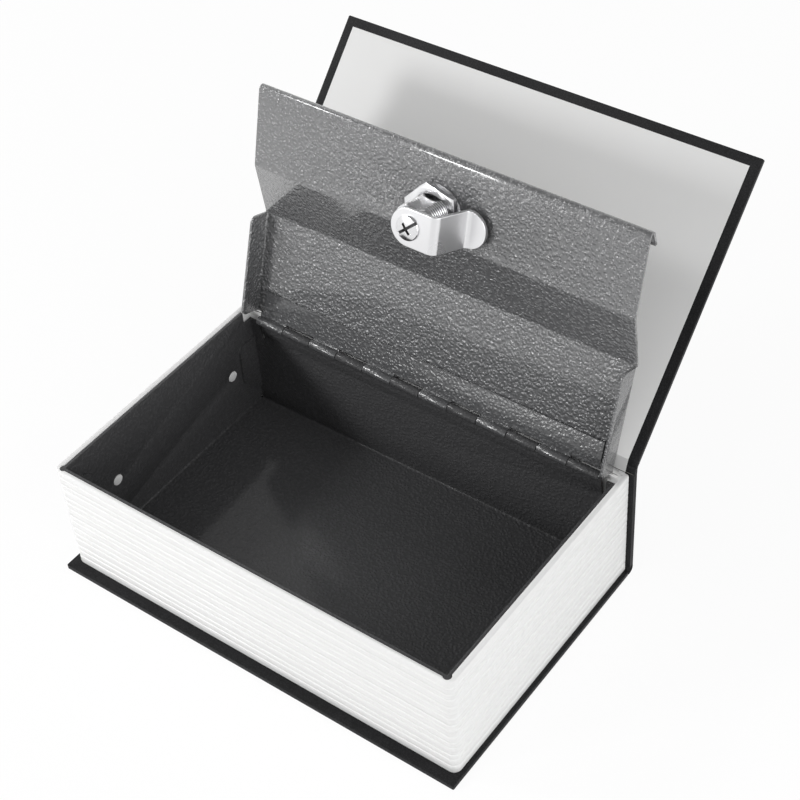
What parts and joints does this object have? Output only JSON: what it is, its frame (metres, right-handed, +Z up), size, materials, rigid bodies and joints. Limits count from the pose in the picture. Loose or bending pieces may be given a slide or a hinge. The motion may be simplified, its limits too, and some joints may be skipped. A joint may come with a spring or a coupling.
{
  "type": "book diversion safe",
  "caption": "Steel cash box hidden in a hollow book, with a moulded page block, black boards and a hinged steel lid that a cam lock holds shut.",
  "frame": {"origin": "middle of the lower cover's underside", "axes": "+X along the book to the right as seen from the fore edge, +Y from the fore edge to the spine, +Z up"},
  "size_m": [0.18, 0.1974, 0.1456],
  "materials": {
    "leatherette": "matt black covering with a slight leather grain",
    "grey_board": "raw grey binder's board",
    "paper": "smooth white endpaper",
    "page_plastic": "white moulded plastic with page lines",
    "box_paint": "dark grey paint",
    "lid_paint": "mid-grey hammertone paint",
    "zinc_plate": "bright plated",
    "steel": "plain bright steel",
    "brass": "plain turned brass"
  },
  "bodies": {
    "case": {"bottom_board": "grey_board", "bottom_wrap": "leatherette", "bottom_joint": "leatherette", "spine_board": "grey_board", "spine_wrap": "leatherette", "page_block": "page_plastic", "box_tray": "box_paint", "strike_bracket": "box_paint", "hinge_pin": "steel", "endpaper_hinge": "paper"},
    "gutter": {"cover_joint": "leatherette"},
    "cover": {"top_board": "grey_board", "top_wrap": "leatherette", "top_endpaper": "paper"},
    "lid": {"lid_panel": "lid_paint", "lid_hinge_leaf": "lid_paint", "lock_body": "zinc_plate", "lock_washer": "steel", "lock_nut": "zinc_plate"},
    "plug": {"lock_plug": "brass", "lock_wafer_1": "brass", "lock_wafer_2": "brass", "lock_wafer_3": "brass", "lock_wafer_4": "brass", "lock_wafer_5": "brass", "lock_cam": "zinc_plate", "cam_screw": "zinc_plate"}
  },
  "joints": [
    {"name": "lid_hinge", "type": "hinge", "parent": "case", "child": "lid", "pos_m": [0, 0.052, 0.0496], "axis": [1, 0, 0], "range_deg": [0, 108.7]},
    {"name": "cover_hinge", "type": "hinge", "parent": "case", "child": "gutter", "pos_m": [0, 0.0577, 0.0546], "axis": [1, 0, 0], "range_deg": [0, 134]},
    {"name": "cover_lay_back", "type": "hinge", "parent": "gutter", "child": "cover", "pos_m": [0, 0.0577, 0.0546], "axis": [-1, 0, 0], "range_deg": [0, 46]},
    {"name": "cam_turn", "type": "hinge", "parent": "lid", "child": "plug", "pos_m": [0, 0.06835, 0.12467], "axis": [0, -0.9666, 0.2563], "range_deg": [0, 90]}
  ],
  "couplings": [
    {"joint": "cover_hinge", "follows": "lid_hinge", "ratio": 1.2327}
  ]
}
